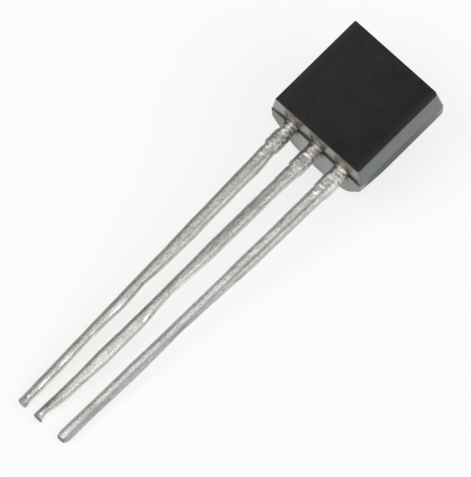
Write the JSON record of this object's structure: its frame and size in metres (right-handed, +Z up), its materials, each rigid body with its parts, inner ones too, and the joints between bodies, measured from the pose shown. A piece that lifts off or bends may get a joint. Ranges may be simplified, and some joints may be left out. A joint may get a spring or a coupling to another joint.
{
  "type": "to-92 transistor",
  "caption": "Small black moulded transistor with a flat front, a round back and long tinned leads, lying on its back with the lead tips on the bench.",
  "frame": {"origin": "on the surface the part rests on, under the middle of its bounding box", "axes": "+Z up, about 8.6 degrees off the normal of the flat face; +Y along the leads, from the lead tips towards the moulded body; +X across the leads, from the emitter lead to the collector lead"},
  "size_m": [0.0046, 0.0191, 0.0043],
  "materials": {
    "epoxy_moulding": "satin",
    "tinned_lead": "satin",
    "silicon": "polished",
    "solder": "satin",
    "bond_wire": "polished"
  },
  "bodies": {
    "root": {"moulded_body": "epoxy_moulding", "emitter_lead": "tinned_lead", "base_lead": "tinned_lead", "collector_lead": "tinned_lead", "silicon_die": "silicon", "die_attach": "solder", "emitter_bond_wire": "bond_wire", "base_bond_wire": "bond_wire"}
  },
  "joints": []
}
